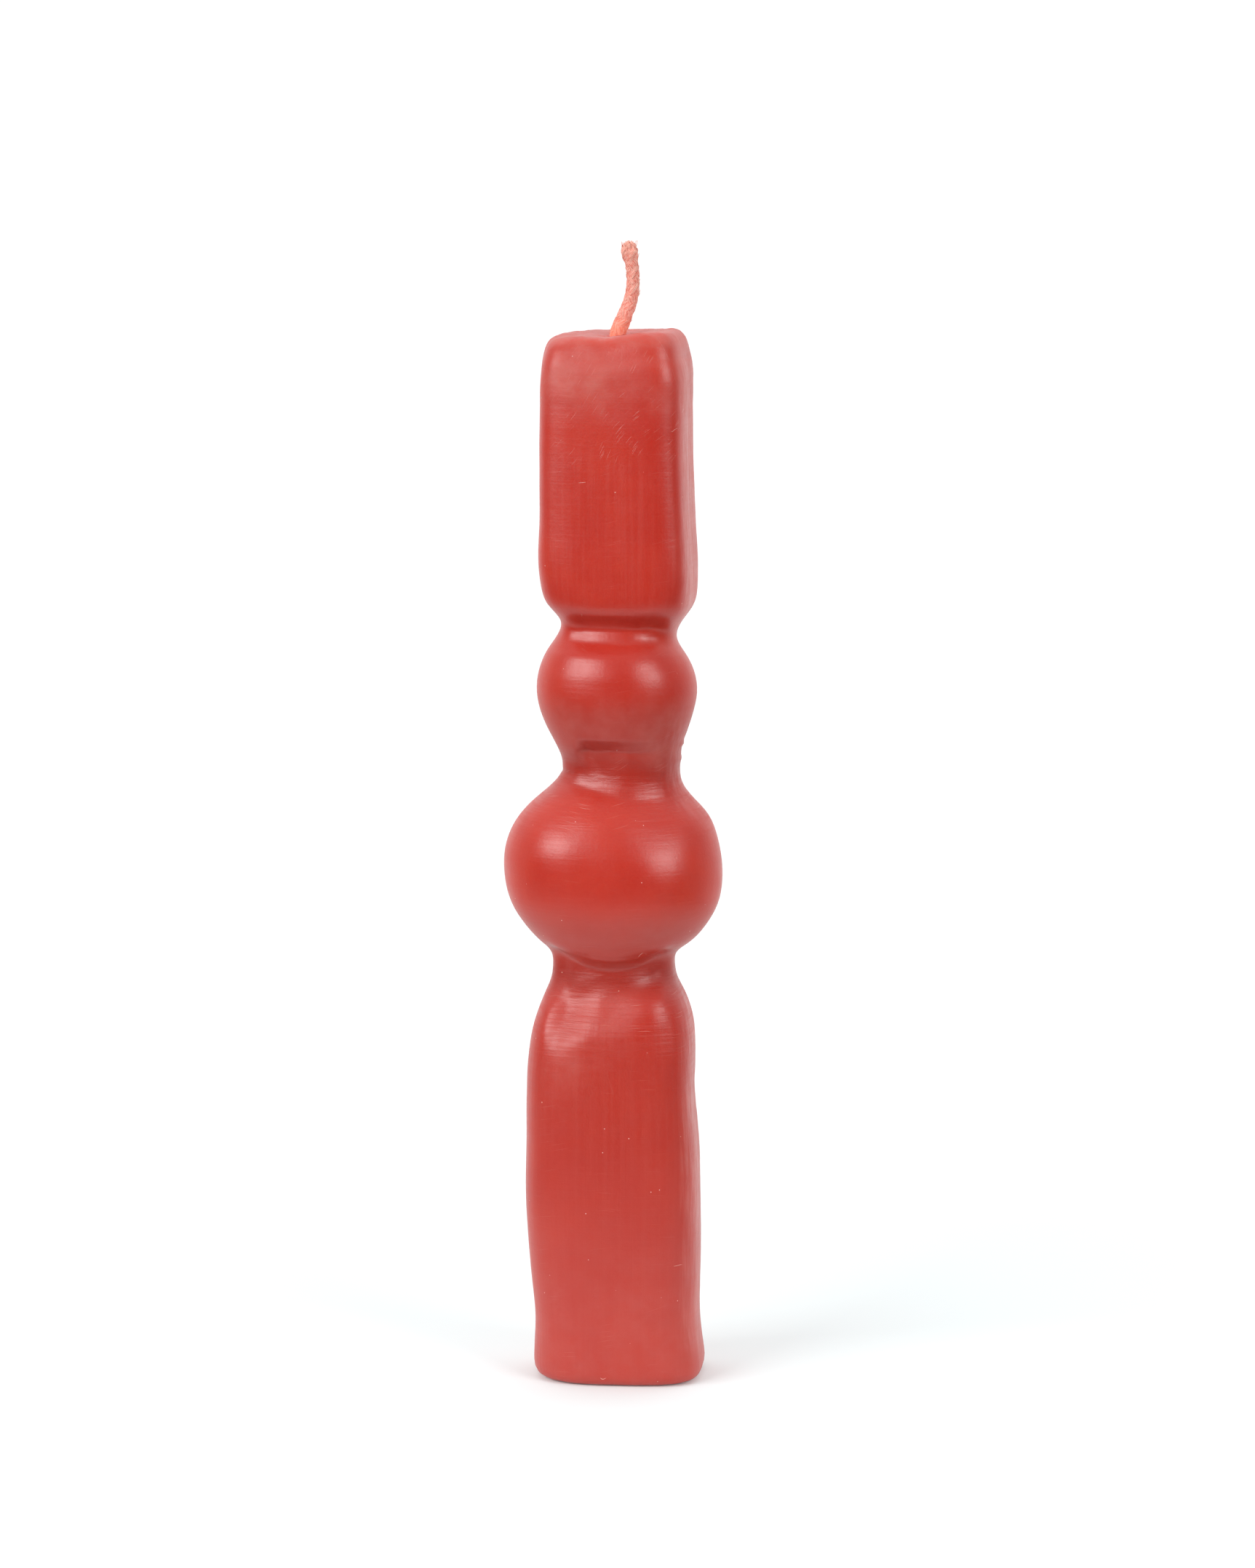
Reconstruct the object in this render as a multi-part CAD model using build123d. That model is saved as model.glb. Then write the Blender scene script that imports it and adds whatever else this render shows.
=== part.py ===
from build123d import *
import math
import os

# A hand-shaped column candle in solid wax, with a braided cotton wick through its middle.
# Millimetres, +Z up. The origin is in the plane that the candle stands on, under the middle
# of its overall width and depth, and the broad front face looks along -Y.

# Driving dimensions
column_half_width = 18.3
column_half_depth = 15.3
waist_half_width = 13.3
waist_half_depth = 12.4
bulb_half_width = 23.9
bulb_half_depth = 19.0
neck_half_width = 12.8
neck_half_depth = 12.4
bead_half_width = 17.6
bead_half_depth = 15.8
crease_half_width = 12.4
crease_half_depth = 11.8
block_half_width = 15.6
block_half_depth = 15.0

foot_radius = 0.9          # rounding of the edge that the candle stands on
rim_height = 8.4           # the block's upper edge rounds off over this height,
rim_left = 5.6             # and comes in by this much on the left,
rim_right = 3.4            # on the right,
rim_front = 4.4            # and at the front and back
crest_height = 228.8       # highest line of the rim, above the wick
crown_lean = -0.65         # the middle of the block's top, to the left of the foot's
dish_depth = 1.1           # how far the top sinks towards the wick
top_tilt = 0.035           # the top rises to the right, in mm per mm
front_sag = 0.7            # dip of the rim in front of the wick
front_sag_reach = 6.5
front_sag_place = -2.0     # the dip's middle, to the left of the wick
block_twist = -4.0         # degrees that the block is turned against the column
axis_x = 1.3               # the foot and the wick are this far right of the overall middle

wick_diameter = 2.9
yarn_count = 8
yarn_gap = 0.02            # air between neighbouring yarns, and round the bundle
wick_route = [(0, 0, 0), (0, 0, 228.6), (2.6, 0, 236.9), (2.95, 0, 243.2), (1.9, 0, 249.3)]
wick_bend_radii = [12.0, 20.0, 22.0]

ring_spacing = 3.0         # between the curves that the body is lofted through
points_per_ring = 44
twist_start = 90.0         # height where the turn of the block begins,
twist_end = 168.0          # and where it is complete

# The body from the foot to the shoulder of the block, one station per line:
# height, lean to the right, half width, half depth, squareness of the left and right corners.
# A squareness of 2 is an ellipse, and more is a rounder or sharper rectangle.
column = [
    (0.0, 0.15, column_half_width + 0.6, column_half_depth, 2.7, 3.8),
    (5.0, -0.15, column_half_width + 0.25, column_half_depth, 2.7, 3.7),
    (12.0, -0.35, column_half_width - 0.35, column_half_depth, 2.9, 3.6),
    (26.0, -0.9, column_half_width + 0.35, column_half_depth + 0.2, 3.0, 3.7),
    (40.0, -1.4, column_half_width + 0.75, column_half_depth + 0.4, 3.0, 3.7),
    (54.0, -1.5, column_half_width + 0.4, column_half_depth + 0.4, 3.0, 3.7),
    (64.0, -1.9, column_half_width - 0.1, column_half_depth + 0.3, 3.0, 3.7),
    (72.0, -1.6, column_half_width - 0.2, column_half_depth, 3.0, 3.6),
    (79.0, -1.25, column_half_width - 1.0, column_half_depth - 0.6, 2.9, 3.4),
    (84.5, -1.0, column_half_width - 2.75, column_half_depth - 1.8, 2.6, 2.9),
]
waist = [
    (88.0, -1.1, waist_half_width + 0.6, waist_half_depth + 0.5, 2.3, 2.4),
    (91.5, -1.2, waist_half_width, waist_half_depth, 2.2, 2.2),
    (94.3, -1.2, waist_half_width + 0.3, waist_half_depth + 0.3, 2.1, 2.1),
]
bulb = [
    (97.3, -0.8, bulb_half_width - 6.9, bulb_half_depth - 4.0, 2.1, 2.1),
    (103.0, -0.9, bulb_half_width - 2.25, bulb_half_depth - 1.4, 2.1, 2.1),
    (112.0, -1.3, bulb_half_width, bulb_half_depth, 2.1, 2.1),
    (119.0, -1.5, bulb_half_width - 0.8, bulb_half_depth - 0.6, 2.1, 2.1),
    (125.0, -1.0, bulb_half_width - 3.5, bulb_half_depth - 2.6, 2.1, 2.1),
    (129.0, -0.85, bulb_half_width - 7.6, bulb_half_depth - 5.0, 2.1, 2.1),
]
neck = [
    (132.0, -0.1, neck_half_width + 0.75, neck_half_depth + 0.3, 2.2, 2.2),
    (135.5, 0.55, neck_half_width - 0.05, neck_half_depth - 0.2, 2.2, 2.2),
    (139.5, 0.15, neck_half_width + 0.65, neck_half_depth + 0.2, 2.2, 2.2),
]
bead = [
    (145.5, -0.45, bead_half_width - 1.55, bead_half_depth - 1.4, 2.1, 2.1),
    (152.5, -0.5, bead_half_width, bead_half_depth, 2.1, 2.1),
    (158.5, -0.7, bead_half_width - 1.5, bead_half_depth - 1.3, 2.1, 2.1),
    (162.5, -0.85, bead_half_width - 4.0, bead_half_depth - 2.9, 2.2, 2.2),
]
crease = [
    (165.5, 0.0, crease_half_width, crease_half_depth, 2.4, 2.4),
]
block = [
    (168.2, 0.95, block_half_width - 1.9, block_half_depth - 1.8, 2.9, 3.2),
    (171.5, 0.4, block_half_width, block_half_depth - 0.2, 3.6, 4.2),
    (177.0, -0.15, block_half_width + 0.7, block_half_depth + 0.2, 4.2, 5.2),
    (190.0, -0.4, block_half_width + 0.25, block_half_depth + 0.2, 4.6, 6.0),
    (207.0, -0.7, block_half_width, block_half_depth, 4.6, 6.0),
    (215.0, -0.7, block_half_width, block_half_depth, 4.5, 6.0),
]
stations = column + waist + bulb + neck + bead + crease + block


def slope(index, entry):
    """How fast one entry of the stations changes with height, as a parabola through three sees it."""
    if index in (0, len(stations) - 1):
        return 0.0
    below, here, above = stations[index - 1:index + 2]
    rise_below = here[0] - below[0]
    rise_above = above[0] - here[0]
    rate_below = (here[entry] - below[entry]) / rise_below
    rate_above = (above[entry] - here[entry]) / rise_above
    return (rate_below * rise_above + rate_above * rise_below) / (rise_below + rise_above)


def section_at(height):
    """Lean, half width, half depth and squareness at any height, smooth through the stations."""
    index = sum(1 for station in stations[1:-1] if station[0] <= height)
    low, high = stations[index], stations[index + 1]
    rise = high[0] - low[0]
    along = (height - low[0]) / rise
    blend = along * along * (3 - 2 * along)
    leave = along * (1 - along) ** 2 * rise
    arrive = along * along * (along - 1) * rise
    section = []
    for entry in range(1, len(low)):
        straight = low[entry] + (high[entry] - low[entry]) * blend
        section.append(straight + leave * slope(index, entry) + arrive * slope(index + 1, entry))
    return section


def ring(height, lean, half_width, half_depth, left, right, twist=0.0, crown=0.0):
    """One closed curve round the candle. crown brings in the tilt and the dip of the top."""
    points = []
    bearing = math.radians(twist)
    for step in range(points_per_ring):
        turn = 2 * math.pi * step / points_per_ring
        squareness = left + (right - left) * (1 + math.cos(turn)) / 2
        across = abs(math.cos(turn) / half_width) ** squareness
        along = abs(math.sin(turn) / half_depth) ** squareness
        reach = (across + along) ** (-1 / squareness)
        x = reach * math.cos(turn + bearing)
        y = reach * math.sin(turn + bearing)
        towards_front = max(0.0, -math.sin(turn)) ** 2
        dip = front_sag * towards_front * math.exp(-((x - front_sag_place) / front_sag_reach) ** 2)
        points.append((lean + x, y, height + crown * (top_tilt * x - dip)))
    marks = [step / points_per_ring for step in range(points_per_ring + 1)]
    return Wire([Edge.make_spline(points, periodic=True, parameters=marks)])


def twist_at(height):
    """The block is turned against the column, and the waist, bulb and bead share the turn out."""
    part_way = min(1.0, max(0.0, (height - twist_start) / (twist_end - twist_start)))
    return block_twist * part_way * part_way * (3 - 2 * part_way)


def foot_rings():
    """The rounded edge that the candle stands on, below the first full ring."""
    rings = []
    for degrees in (0, 45):
        swing = math.radians(degrees)
        height = foot_radius * (1 - math.cos(swing))
        inset = foot_radius * (1 - math.sin(swing))
        lean, half_width, half_depth, left, right = section_at(height)
        rings.append(ring(height, lean, half_width - inset, half_depth - inset, left, right))
    return rings


def crown_rings():
    """The rounded rim of the block, then the shallow dish down to the wick."""
    rings = []
    inset = (rim_left + rim_right) / 2
    drift = (rim_left - rim_right) / 2
    for degrees in (12, 30, 48, 66, 80, 90):
        swing = math.radians(degrees)
        gone = 1 - math.cos(swing)
        rings.append(ring(
            crest_height - rim_height * (1 - math.sin(swing)),
            drift * gone + crown_lean,
            block_half_width - inset * gone,
            block_half_depth - rim_front * gone,
            4.4 - 1.2 * gone,
            5.8 - 2.0 * gone,
            block_twist,
            math.sin(swing) ** 2,
        ))
    for fraction in (0.75, 0.5, 0.28):
        rings.append(ring(
            crest_height - dish_depth * (1 - fraction) ** 1.5,
            (drift + crown_lean) * fraction,
            (block_half_width - inset) * fraction,
            (block_half_depth - rim_front) * fraction,
            2.0 + 1.2 * fraction,
            2.0 + 1.8 * fraction,
            block_twist,
            fraction ** 0.5,
        ))
    centre_reach = wick_diameter / 4
    rings.append(ring(crest_height - dish_depth, 0.0, centre_reach, centre_reach, 2.0, 2.0))
    return rings


def wax_body(wick_line):
    span = stations[-1][0] - foot_radius
    count = round(span / ring_spacing)
    heights = [foot_radius + span * step / count for step in range(count + 1)]
    side_rings = [ring(height, *section_at(height), twist_at(height)) for height in heights]
    body = Solid.make_loft(foot_rings() + side_rings + crown_rings())
    channel = sweep(Circle(wick_diameter / 2), path=wick_line)
    return body - channel


def wick_yarns(wick_line):
    """Equal yarns side by side in a ring, all following the wick's line."""
    share = math.sin(math.pi / yarn_count)
    ring_radius = (wick_diameter / 2 - yarn_gap) / (1 + share)
    yarn_radius = ring_radius * share - yarn_gap / 2
    yarns = []
    for number in range(yarn_count):
        turn = 2 * math.pi * (number + 0.5) / yarn_count
        place = Pos(ring_radius * math.cos(turn), ring_radius * math.sin(turn), 0)
        yarns.append(sweep(place * Circle(yarn_radius), path=wick_line))
    return yarns


os.makedirs("parts", exist_ok=True)
wick_line = FilletPolyline(*wick_route, radius=wick_bend_radii)
in_place = Pos(axis_x, 0, 0)
export_step(in_place * wax_body(wick_line), "parts/wax_body.step")
for number, yarn in enumerate(wick_yarns(wick_line), start=1):
    export_step(in_place * yarn, f"parts/wick_yarn_{number}.step")
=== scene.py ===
import math
import random

import bpy
import numpy as np
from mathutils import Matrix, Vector, noise
from mathutils.bvhtree import BVHTree


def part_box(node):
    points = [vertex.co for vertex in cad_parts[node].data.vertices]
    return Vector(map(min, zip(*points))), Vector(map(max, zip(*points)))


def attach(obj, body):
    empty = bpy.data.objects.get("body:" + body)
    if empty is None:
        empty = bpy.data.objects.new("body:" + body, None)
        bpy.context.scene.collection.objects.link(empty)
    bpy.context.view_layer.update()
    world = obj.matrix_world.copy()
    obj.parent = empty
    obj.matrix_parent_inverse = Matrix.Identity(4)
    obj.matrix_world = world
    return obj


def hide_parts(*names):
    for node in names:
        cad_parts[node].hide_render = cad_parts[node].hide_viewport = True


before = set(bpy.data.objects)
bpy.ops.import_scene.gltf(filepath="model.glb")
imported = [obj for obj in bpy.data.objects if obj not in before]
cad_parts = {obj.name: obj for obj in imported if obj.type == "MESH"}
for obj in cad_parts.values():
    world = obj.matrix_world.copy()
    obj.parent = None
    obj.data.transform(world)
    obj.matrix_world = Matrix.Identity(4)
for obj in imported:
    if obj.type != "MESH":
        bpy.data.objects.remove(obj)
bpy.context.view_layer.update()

MM = 0.001
TURN = 2 * math.pi
yarn_names = sorted(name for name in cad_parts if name.startswith("wick_yarn_"))
wick_radius = (max(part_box(name)[1].y for name in yarn_names)
               - min(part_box(name)[0].y for name in yarn_names)) / 2
axis_x = min(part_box(name)[0].x for name in yarn_names) + wick_radius
wax_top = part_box("wax_body")[1].z
wick_tip = max(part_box(name)[1].z for name in yarn_names)


# ---------------------------------------------------------------- small helpers

def hill(value, centre, reach):
    """A smooth bump of height 1 at centre that is nearly gone two reaches away."""
    return np.exp(-((value - centre) / reach) ** 2)


def step_up(value, start, end):
    """0 before start, 1 after end, and smooth between."""
    t = np.clip((value - start) / (end - start), 0.0, 1.0)
    return t * t * (3 - 2 * t)


def between(value, start, end, soft):
    """1 from start to end, falling to 0 over the distance soft on each side."""
    return step_up(value, start - soft, start) * (1 - step_up(value, end, end + soft))


def wander(points, size, octaves=2, shift=0.0):
    """Smooth noise from about -1 to 1 at each point, with features of about that size."""
    flat = points.reshape(-1, 3) / size + shift
    values = [noise.fractal(Vector(point), 1.0, 2.0, octaves) for point in flat]
    return np.array(values).reshape(points.shape[:-1])


def add_mesh(name, vertices, faces):
    mesh = bpy.data.meshes.new(name)
    mesh.from_pydata([tuple(v) for v in vertices], [], faces)
    mesh.update()
    mesh.polygons.foreach_set("use_smooth", [True] * len(mesh.polygons))
    piece = bpy.data.objects.new(name, mesh)
    bpy.context.scene.collection.objects.link(piece)
    return piece


def add_mask(mesh, name, values):
    """Stores one number for each vertex, which the materials read by name."""
    layer = mesh.attributes.new(name, "FLOAT", "POINT")
    layer.data.foreach_set("value", np.ravel(values).astype(np.float32))


# ---------------------------------------------------------------- the wax: its plain shape, from CAD

COLUMNS = 256
FAN_HEIGHT = 15.0 * MM      # how far inside the ends the end rays start
STEEPEST = 80.0             # degrees, which keeps the end rays out of the wick's channel
CLEAR_OF_WICK = wick_radius * 1.2
FOOT_ROWS = 28
CROWN_ROWS = 84
SOFTEN_PASSES = 4
PLAIN_STEP = 1.2            # mm between rows where the wax is plain
FINE_STEP = 0.42            # mm between rows at the creases and folds
FINE_BANDS = ((160.0, 171.0), (127.5, 143.5), (85.5, 96.5))


def side_heights():
    """The heights of the level rows, closer together at the creases and folds."""
    height = FAN_HEIGHT / MM
    end = (wax_top - FAN_HEIGHT) / MM
    heights = []
    while height < end:
        heights.append(height * MM)
        fine = max(float(between(height, low, high, 2.5)) for low, high in FINE_BANDS)
        height += PLAIN_STEP + (FINE_STEP - PLAIN_STEP) * fine
    return heights


def wax_rays():
    """Start height, and slope of the ray above level, for each row from the foot to the top."""
    foot = [(FAN_HEIGHT, -STEEPEST * (1 - step / FOOT_ROWS)) for step in range(FOOT_ROWS)]
    side = [(height, 0.0) for height in side_heights()]
    crown = [(wax_top - FAN_HEIGHT, STEEPEST * step / CROWN_ROWS) for step in range(CROWN_ROWS + 1)]
    return foot + side + crown


def cast_wax():
    """The CAD wax read at even steps round and up: an array of rows by columns by xyz."""
    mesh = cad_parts["wax_body"].data
    tree = BVHTree.FromPolygons(
        [v.co for v in mesh.vertices], [tuple(p.vertices) for p in mesh.polygons])
    grid = []
    for height, rise in wax_rays():
        start = Vector((axis_x, 0.0, height))
        lift = math.radians(rise)
        row = []
        for column in range(COLUMNS):
            turn = TURN * column / COLUMNS + TURN / 4
            way = Vector((math.cos(turn) * math.cos(lift), math.sin(turn) * math.cos(lift), math.sin(lift)))
            past_channel = way * (CLEAR_OF_WICK / math.cos(lift))
            row.append(tuple(tree.ray_cast(start + past_channel, way)[0]))
        grid.append(row)
    return np.array(grid)


def soften(grid, passes):
    """Evens out the CAD mesh's facets, round the candle and up it."""
    for _ in range(passes):
        grid = 0.5 * grid + 0.25 * (np.roll(grid, 1, axis=1) + np.roll(grid, -1, axis=1))
        inner = 0.5 * grid[1:-1] + 0.25 * (grid[:-2] + grid[2:])
        grid = np.concatenate([grid[:1], inner, grid[-1:]])
    return grid


def grid_normals(grid):
    round_way = np.roll(grid, -1, axis=1) - np.roll(grid, 1, axis=1)
    up_way = np.gradient(grid, axis=0)
    normals = np.cross(round_way, up_way)
    return normals / np.maximum(np.linalg.norm(normals, axis=2, keepdims=True), 1e-12)


# ---------------------------------------------------------------- the wax: its marks, folds and creases

FACE_TURN = math.radians(5.0)       # the side with the marks faces a little right of straight front


def face_places(grid):
    """Each point's place in mm: across the marked face, out towards it, and up."""
    x = (grid[..., 0] - axis_x) / MM
    y = grid[..., 1] / MM
    across = x * math.cos(FACE_TURN) + y * math.sin(FACE_TURN)
    toward = x * math.sin(FACE_TURN) - y * math.cos(FACE_TURN)
    return across, toward, grid[..., 2] / MM


def bent(value, points):
    """A line of straight runs through (value, result) points, with a crisp bend at each."""
    places = np.array(sorted(points))
    return np.interp(value, places[:, 0], places[:, 1])


# How far in or out of the plain shape the front of the upper neck lies, by height in mm.
NECK_LEFT = ((154.0, 0.0), (156.0, 0.28), (158.8, 0.38), (160.2, 0.38), (160.9, 0.22),
             (161.8, -0.15), (162.8, -0.60), (163.6, -1.08), (164.5, -1.14), (165.2, -1.32),
             (165.7, -1.52), (166.0, -1.62), (167.2, -1.15), (168.4, -0.60), (169.6, -0.15), (171.0, 0.0))
NECK_RIGHT = ((154.0, 0.0), (156.5, 0.25), (158.8, 0.38), (160.4, 0.38), (161.7, 0.22),
              (162.7, -0.08), (163.6, -0.48), (164.3, -0.82), (165.2, -1.24), (165.8, -1.52),
              (166.1, -1.66), (167.3, -1.20), (168.5, -0.65), (169.7, -0.20), (171.0, 0.0))
NECK_DROP = 0.35            # mm that all of this lies lower on the right


def upper_neck(across, front, height):
    """The groove under the head block, with the crisp lip of the bead just below it."""
    right = step_up(across, -2.0, 6.0)
    lower = height + NECK_DROP * right
    offset = bent(lower, NECK_LEFT) * (1 - right) + bent(lower, NECK_RIGHT) * right
    reach = np.where(offset > 0, hill(across, 0.0, 13.0), between(across, -7.5, 7.0, 5.0))
    return front * offset * reach


# The same for a finger's press mark on the lower neck, which has a steep upper wall.
PRESS_MARK = ((142.6, 0.0), (142.2, -0.15), (139.4, -1.70), (138.4, -1.40), (137.0, -1.05),
              (135.5, -0.70), (134.0, -0.40), (132.0, -0.15), (130.5, 0.0))


def finger_press(across, front, height):
    """Crisp at its upper left, and gone by degrees to the right and downwards."""
    left = step_up(across, -9.8, -7.4 + 5.0 * step_up(-height, -140.5, -133.0))
    right = 1 - 0.35 * step_up(across, -3.0, 2.5) - 0.65 * step_up(across, 2.5, 11.0)
    return front * bent(height, PRESS_MARK) * left * right


# The height of the bulb's collar at each place across, and the offsets by height above that line.
COLLAR_LINE = ((-12.0, 134.7), (-9.6, 134.4), (-5.9, 133.9), (-3.2, 133.1), (1.9, 132.2), (9.0, 131.7))
COLLAR = ((6.0, 0.0), (4.5, -0.45), (3.0, -0.85), (1.5, -1.25), (0.0, -1.45), (-2.0, -1.60),
          (-2.3, -1.48), (-3.2, -1.02), (-4.1, -0.58), (-5.0, -0.34), (-6.2, -0.10), (-7.6, 0.06),
          (-9.2, 0.08), (-11.0, 0.0))


def collar_fold(across, front, height):
    """The fold where the lower neck meets the bulb: it runs down to the right, with a thin second one."""
    above = height - bent(across, COLLAR_LINE)
    reach = step_up(across, -14.5, -7.5) * (1 - 0.55 * step_up(across, -8.0, 8.0))
    reach *= 1 - step_up(across, 5.0, 13.0)
    thin = 0.13 * hill(above, -5.3, 0.38) * between(across, -8.8, -4.8, 1.5)
    return front * (bent(above, COLLAR) * reach + thin)


def bulb_shape(across, front, height):
    """The bulb is flatter above and fuller below on its right side, and full on its left."""
    fuller = 0.8 * hill(height, 110.0, 9.0) * hill(across, 9.0, 10.0)
    flatter = -0.9 * hill(height, 125.5, 6.5) * hill(across, 9.0, 9.0)
    cheek = 0.7 * hill(across, -15.0, 6.5) * hill(height, 117.0, 10.0)
    return front * (fuller + flatter + cheek)


# The crease under the bulb, by height above its line. On the left the neck starts at its last depth.
CREASE_LOWEST = 90.9        # mm, the height of the line at its lowest, CREASE_MIDDLE across
CREASE_MIDDLE = -2.0
CREASE_CURVE = 0.020        # how fast the line climbs to both sides
NECK_DEPTH = 1.60
CREASE_LEFT = ((6.0, 0.0), (4.6, 0.22), (3.4, 0.18), (0.9, -NECK_DEPTH))
CREASE_RIGHT = ((6.0, 0.0), (4.6, 0.20), (3.4, 0.12), (0.9, -1.20), (-2.0, -1.30), (-3.5, -1.05),
                (-5.5, -0.40), (-7.5, 0.0))
# From there the left side slopes out to the column's shoulder, by height.
SHOULDER = ((71.5, 0.0), (74.5, 0.08), (78.0, 0.08), (80.5, -0.45), (84.9, -1.30), (86.3, -1.52),
            (87.9, -1.68), (89.0, -1.70), (90.6, -NECK_DEPTH))


def bulb_crease(across, front, height):
    """The crescent under the bulb, and the shoulder below it, whose edge drops to the left."""
    above = height - CREASE_LOWEST - CREASE_CURVE * (across - CREASE_MIDDLE) ** 2
    drop = 0.25 * np.minimum(across + 4.6, 0.0)
    left = bent(above, CREASE_LEFT) + bent(height - drop, SHOULDER) + NECK_DEPTH
    right = step_up(across, -3.0, 9.0)
    offset = left * (1 - right) + bent(above, CREASE_RIGHT) * right
    fuller = 0.55 * hill(across, 8.5, 5.5) * hill(height, 83.0, 3.8)
    return front * (offset * between(across, -12.0, 8.0, 5.0) + fuller)


# A flat rubbed into the column's left shoulder: a point on it, and which way it faces.
SHOULDER_FLAT_AT = (-10.25, 12.65, 79.0)      # across, toward and up, in mm
SHOULDER_FLAT_TURN = math.radians(-26.0)
SHOULDER_FLAT_RISE = math.radians(17.5)
SHOULDER_FLAT_EDGE = 0.4                      # mm over which its edge runs out
SHOULDER_FLAT_DEEPEST = 1.2


def shoulder_flat(across, toward, height):
    """How far the flat cuts in below the shoulder, as a negative offset."""
    sideways = math.sin(SHOULDER_FLAT_TURN) * math.cos(SHOULDER_FLAT_RISE)
    outwards = math.cos(SHOULDER_FLAT_TURN) * math.cos(SHOULDER_FLAT_RISE)
    out = (sideways * (across - SHOULDER_FLAT_AT[0]) + outwards * (toward - SHOULDER_FLAT_AT[1])
           + math.sin(SHOULDER_FLAT_RISE) * (height - SHOULDER_FLAT_AT[2]))
    cut = np.minimum(0.5 * (out + np.sqrt(out ** 2 + SHOULDER_FLAT_EDGE ** 2)), SHOULDER_FLAT_DEEPEST)
    return -cut * between(height, 66.0, 85.0, 5.0) * between(across, -15.0, -5.0, 5.0)


def block_shape(across, front, height):
    """The head block leans back near its top, is rounded at its upper left and full at its right edge."""
    lean = -0.40 * step_up(height, 206.0, 224.0) * (1 - step_up(height, 224.0, 227.5))
    edge = 0.45 * hill(across, 13.4, 2.2) * between(height, 178.0, 219.0, 7.0)
    rounded = -0.5 * hill(across, -13.0, 7.0) * hill(height, 226.0, 8.0)
    return front * (lean * hill(across, -2.0, 13.0) + edge + rounded)


def spot(across, height, at_across, at_height, width, tall):
    """A smooth bump on the surface, of height 1 at its middle."""
    return hill(across, at_across, width) * hill(height, at_height, tall)


def small_marks(across, toward, height):
    """Nicks and beads of wax on the two sides of the lower neck and on the block's right edge."""
    side = step_up(toward, -6.0, 0.0)
    nick_left = -0.28 * spot(across, height, -11.8, 134.4, 1.2, 0.7)
    bead_high = 0.28 * spot(across, height, 13.6, 140.4, 0.9, 0.55)
    bead_low = 0.22 * spot(across, height, 13.0, 137.0, 0.9, 0.6)
    nick_block = -0.40 * spot(across, height, 15.4, 224.5, 1.6, 0.9)
    return side * (nick_left + bead_high + bead_low + nick_block)


def trimmed_side(grid, across, toward, height):
    """The knife-trimmed right side: faint pits and ridges, strongest along the front corner."""
    column = between(height, 20.0, 82.0, 6.0) * hill(across, 15.8, 2.4)
    block = between(height, 176.0, 222.0, 4.0) * hill(across, 14.5, 2.2)
    neck = between(height, 126.0, 146.0, 3.0) * step_up(across, 4.0, 11.0)
    rough = wander(grid / MM * np.array([1.0, 1.0, 0.45]), 1.7, octaves=3, shift=7.0)
    return step_up(toward, -14.0, -9.0) * (column + block + 0.8 * neck) * 0.09 * rough


def shape_marks(grid):
    """How far, in mm, each point stands out of the plain shape."""
    across, toward, height = face_places(grid)
    front = step_up(toward, 1.0, 6.5)
    plain = between(height, 3.0, 224.0, 3.0)
    marks = plain * (0.11 * wander(grid / MM, 26.0, shift=2.0) + 0.035 * wander(grid / MM, 7.0, shift=5.0))
    for mark in (upper_neck, finger_press, collar_fold, bulb_shape, bulb_crease, block_shape):
        marks += mark(across, front, height)
    marks += shoulder_flat(across, toward, height)
    full_corner = 0.75 * spot(across, height, -14.5, 226.0, 3.2, 3.4)
    marks += full_corner
    marks += small_marks(across, toward, height)
    marks += trimmed_side(grid, across, toward, height)
    return marks


CRATER_REACH = 5.5      # mm from the wick where the wrinkles end
MENISCUS = 0.75         # mm that the wax climbs up the wick
TOP_LIFT = 0.85         # mm that the top face stands above the CAD one
# The same for its front rim, at each place across.
RIM_LIFT = ((-14.0, 0.9), (-8.0, 1.35), (-3.4, 0.95), (0.0, 1.15), (4.7, 1.40), (10.8, 0.95),
            (14.0, TOP_LIFT))


def wrinkle_top(grid):
    """The top face: wrinkles that set round the wick, and a rim that isn't quite even."""
    across, toward, height = face_places(grid)
    radius = np.hypot(across, toward)
    on_top = step_up(height, 224.5, 227.5)
    near = on_top * (1 - step_up(radius, CRATER_REACH * 0.55, CRATER_REACH))
    right = 0.45 + 0.55 * step_up(across, -1.0, 3.0)
    folds = np.abs(wander(grid / MM * np.array([0.55, 1.5, 1.0]), 2.4, octaves=2, shift=3.0))
    moved = grid.copy()
    moved[..., 2] -= MM * near * right * 0.45 * (1 - np.clip(folds * 3.2, 0, 1))
    moved[..., 2] += MM * on_top * 0.16 * wander(grid / MM, 3.2, octaves=3, shift=9.0)
    rim_only = bent(across, RIM_LIFT) - TOP_LIFT
    moved[..., 2] += MM * on_top * (TOP_LIFT + rim_only * step_up(toward, 2.0, 11.0))
    return moved


def wax_grid():
    grid = soften(cast_wax(), SOFTEN_PASSES)
    grid = grid + grid_normals(grid) * shape_marks(grid)[..., None] * MM
    grid = wrinkle_top(grid)
    grid[..., 2] = np.maximum(grid[..., 2], 0.0)
    return grid


# The rings of faces round the wick's channel, as shares of the wick's radius.
FOOT_HOLE_RINGS = (1.7, 1.0)
CROWN_HOLE_RINGS = (1.5, 1.25, 1.08, 1.0)
CHANNEL_STEPS = 6
WRAP_RADIUS = 20.0          # mm, about the candle's own radius


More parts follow.
